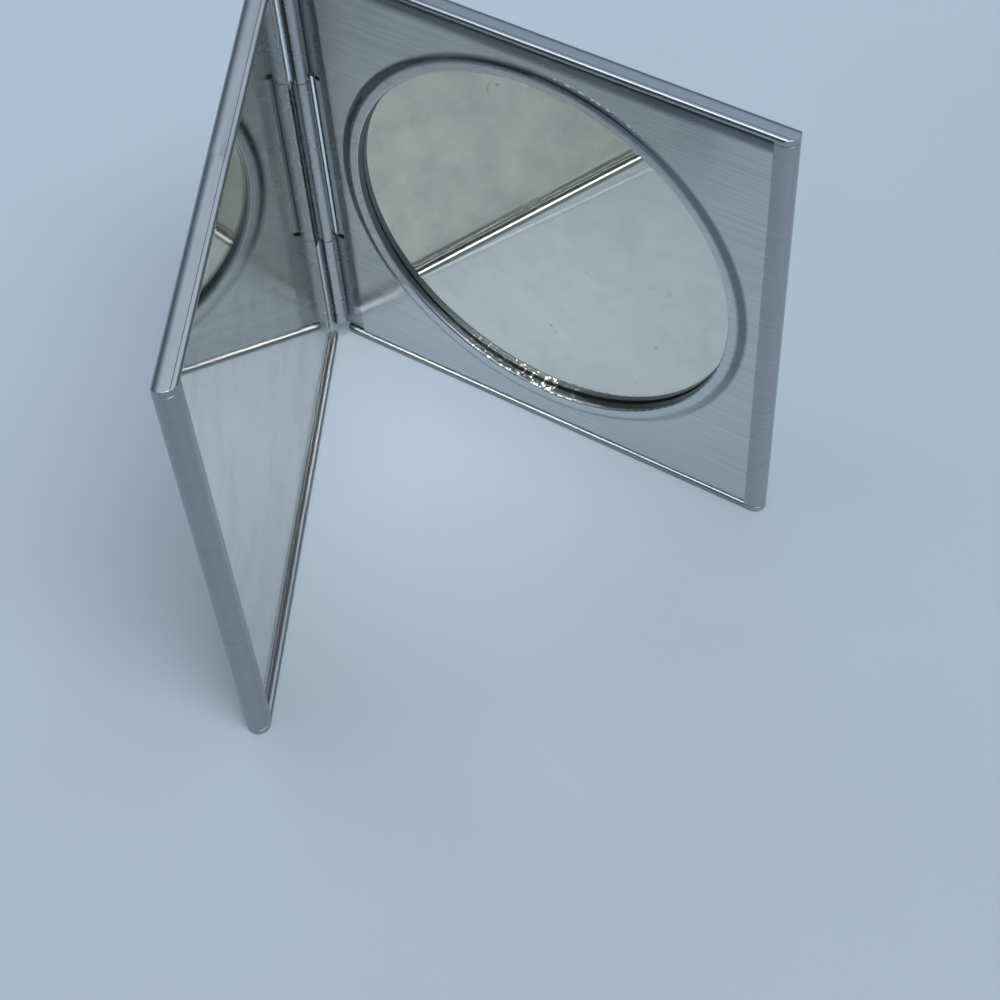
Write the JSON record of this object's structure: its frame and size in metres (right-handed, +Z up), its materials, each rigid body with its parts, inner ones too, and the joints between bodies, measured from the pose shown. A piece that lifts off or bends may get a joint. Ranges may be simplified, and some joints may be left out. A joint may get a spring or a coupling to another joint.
{
  "type": "compact mirror",
  "caption": "Square folding pocket mirror in brushed metal, standing open: a full flat mirror in one leaf and a round mirror framed by a raised ring in the other.",
  "frame": {"origin": "under the middle of the open mirror's bounding box, on the plane that its lower rims stand on", "axes": "+Z up along the hinge, +X from the hinge into the opening along the line halfway between the leaves, +Y towards the leaf with the round mirror"},
  "size_m": [0.056, 0.0722, 0.0642],
  "materials": {
    "cover": "brushed",
    "plate": "brushed",
    "mirror_glass": "polished",
    "card": "matte",
    "foam": "matte",
    "pad_foam": "matte",
    "hinge_strip": "satin",
    "pin": "satin"
  },
  "bodies": {
    "round_leaf": {"round_leaf_cover": "cover", "round_leaf_filler": "card", "round_leaf_hinge_strip": "hinge_strip", "brushed_plate": "plate", "round_mirror_foam_ring": "foam", "round_mirror": "mirror_glass", "round_mirror_pad": "pad_foam", "hinge_pin": "pin"},
    "flat_leaf": {"flat_leaf_cover": "cover", "flat_leaf_board": "card", "flat_leaf_foam": "foam", "flat_mirror": "mirror_glass", "flat_leaf_hinge_strip": "hinge_strip"}
  },
  "joints": [
    {"name": "leaf_hinge", "type": "hinge", "parent": "round_leaf", "child": "flat_leaf", "pos_m": [-0.02676, 0, 0.0321], "axis": [0, 0, 1], "range_deg": [-117, 63]}
  ]
}
